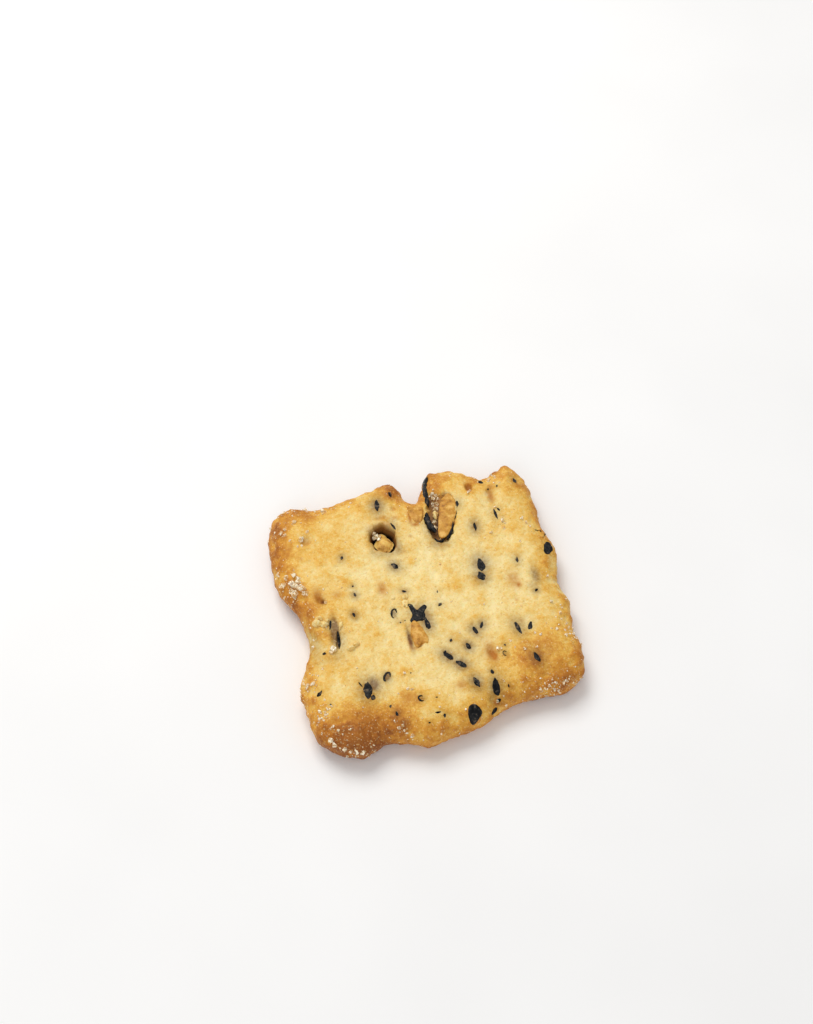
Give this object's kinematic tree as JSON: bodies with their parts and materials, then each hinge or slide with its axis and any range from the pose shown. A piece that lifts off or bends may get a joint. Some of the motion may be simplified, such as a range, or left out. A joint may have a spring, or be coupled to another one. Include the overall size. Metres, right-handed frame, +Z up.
{
  "type": "cracker",
  "caption": "Square baked cracker with a scalloped, rounded rim, bits of black bean in its face, a broken blister and coarse sugar baked on.",
  "frame": {"origin": "under the middle of the cracker, on the surface that it lies on", "axes": "+Z up through its thickness, with its shown face up; its sides run along X and Y, and +Y points to the side with the deep notch"},
  "size_m": [0.0459, 0.0478, 0.007],
  "materials": {
    "dough": "matte baked dough, pale in the middle and browned at the rim",
    "bean_skin": "black bean skin, half glossy",
    "bean_flesh": "tan cut bean, satin",
    "sugar": "clear to white sugar grains, glossy"
  },
  "bodies": {
    "root": {"cracker": "dough"}
  },
  "joints": []
}
